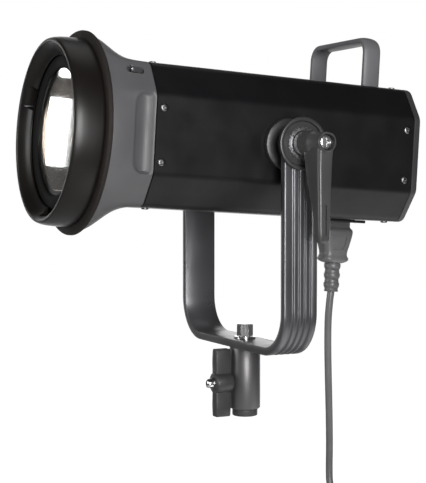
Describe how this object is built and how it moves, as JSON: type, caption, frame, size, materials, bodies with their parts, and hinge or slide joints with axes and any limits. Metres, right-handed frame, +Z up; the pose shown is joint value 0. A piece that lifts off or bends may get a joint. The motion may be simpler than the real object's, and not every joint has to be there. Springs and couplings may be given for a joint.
{
  "type": "continuous studio monolight",
  "caption": "Studio monolight on a U yoke: tube head with round bayonet mount, tilt lever, carry handle, stand receiver with T-knob, and a mains lead with plug.",
  "frame": {"origin": "centre of the mouth of the stand receiver, under the yoke", "axes": "+Z up along the stand spigot, -Y where the light points, +X the side of the tilt lever"},
  "size_m": [0.2331, 0.3107, 0.5705],
  "materials": {
    "tube_black": "satin black powder coat",
    "bell_grey": "moulded, satin",
    "ring_black": "smooth satin black enamel",
    "front_glass": "clear tempered glass",
    "bright_aluminium": "plain",
    "led_yellow": "phosphor",
    "board_white": "ceramic",
    "board_green": "solder mask",
    "moulded_black": "fine texture",
    "button_grey": "soft",
    "display_dark": "clear over dark",
    "anodised_grey": "satin charcoal anodised",
    "bush_grey": "nylon",
    "knob_grey": "glass-filled nylon",
    "bright_steel": "plated",
    "brass_shoe": "plain",
    "friction_fibre": "pressed fibre",
    "lead_rubber": "matt PVC",
    "tie_fabric": "hook and loop"
  },
  "bodies": {
    "yoke": {"yoke": "anodised_grey", "stand_receiver": "anodised_grey", "receiver_boss": "anodised_grey", "spigot_bush": "bush_grey", "yoke_bolt": "bright_steel", "bolt_washer": "bright_steel", "pivot_cup": "anodised_grey", "pivot_cap": "anodised_grey", "far_pivot_bolt": "bright_steel", "mains_cord": "lead_rubber", "cord_coil": "lead_rubber", "cord_tail": "lead_rubber", "cord_tie": "tie_fabric", "mains_plug": "lead_rubber"},
    "head": {"body_tube": "tube_black", "front_bell": "bell_grey", "mount_flange": "ring_black", "mount_ring": "ring_black", "glass_retainer": "ring_black", "glass_plate": "front_glass", "reflector": "bright_aluminium", "cob_carrier": "board_white", "led_cob": "led_yellow", "heat_sink": "bright_aluminium", "fan_frame": "moulded_black", "driver_board": "board_green", "control_board": "board_green", "rear_cap": "bell_grey", "display_window": "display_dark", "rocker_housing": "moulded_black", "power_inlet": "moulded_black", "inlet_plug": "lead_rubber", "carry_handle": "anodised_grey", "handle_screw_near": "bright_steel", "handle_screw_far": "bright_steel", "trunnion_near": "anodised_grey", "trunnion_far": "anodised_grey", "friction_washer_near": "friction_fibre", "friction_washer_far": "friction_fibre"},
    "lock_release": {"release_tab": "bright_steel", "lock_pin": "bright_steel"},
    "fan": {"fan_rotor": "moulded_black"},
    "dial": {"dial_knob": "moulded_black"},
    "mode_button": {"button_mode": "button_grey"},
    "down_button": {"button_down": "button_grey"},
    "up_button": {"button_up": "button_grey"},
    "rocker": {"power_rocker": "moulded_black"},
    "lever_stud": {"clamp_stud": "bright_steel", "lever_screw": "bright_steel"},
    "lever": {"clamp_lever": "knob_grey"},
    "shoe": {"clamp_shoe": "brass_shoe"},
    "knob": {"t_knob": "knob_grey", "knob_screw": "bright_steel"}
  },
  "joints": [
    {"name": "head_tilt", "type": "hinge", "parent": "yoke", "child": "head", "pos_m": [0, 0, 0.219], "axis": [-1, 0, 0], "range_deg": [-48, 24], "deforming": ["mains_cord"]},
    {"name": "lever_turn", "type": "hinge", "parent": "yoke", "child": "lever_stud", "pos_m": [0, 0, 0.219], "axis": [1, 0, 0], "range_deg": [-90, 90]},
    {"name": "lever_lift", "type": "slide", "parent": "lever_stud", "child": "lever", "axis": [1, 0, 0], "range_m": [0, 0.004], "stiffness_N_per_m": 500, "springref_m": -0.002},
    {"name": "knob_turn", "type": "hinge", "parent": "shoe", "child": "knob", "pos_m": [0, 0, 0.028], "axis": [0, 1, 0], "range_deg": [-1080, 0]},
    {"name": "shoe_slide", "type": "slide", "parent": "yoke", "child": "shoe", "axis": [0, 1, 0], "range_m": [-0.00375, 0]},
    {"name": "lock_release", "type": "slide", "parent": "head", "child": "lock_release", "axis": [0, 0.9982, -0.0593], "range_m": [0, 0.005], "stiffness_N_per_m": 300, "springref_m": -0.002},
    {"name": "fan_spin", "type": "hinge", "parent": "head", "child": "fan", "pos_m": [0, 0, 0.219], "axis": [0, 0.9982, -0.0593], "continuous": true},
    {"name": "dial_turn", "type": "hinge", "parent": "head", "child": "dial", "pos_m": [0.023, 0.12831, 0.22039], "axis": [0, 0.9982, -0.0593], "continuous": true},
    {"name": "mode_press", "type": "slide", "parent": "head", "child": "mode_button", "axis": [0, -0.9982, 0.0593], "range_m": [0, 0.001], "stiffness_N_per_m": 400, "springref_m": -0.001},
    {"name": "down_press", "type": "slide", "parent": "head", "child": "down_button", "axis": [0, -0.9982, 0.0593], "range_m": [0, 0.001], "stiffness_N_per_m": 400, "springref_m": -0.001},
    {"name": "up_press", "type": "slide", "parent": "head", "child": "up_button", "axis": [0, -0.9982, 0.0593], "range_m": [0, 0.001], "stiffness_N_per_m": 400, "springref_m": -0.001},
    {"name": "rocker_press", "type": "hinge", "parent": "head", "child": "rocker", "pos_m": [0.03, 0.11545, 0.18109], "axis": [0, 0.0593, 0.9982], "range_deg": [-16, 0]}
  ],
  "couplings": [
    {"joint": "shoe_slide", "follows": "knob_turn", "m_per_rad": 0.00019894}
  ]
}
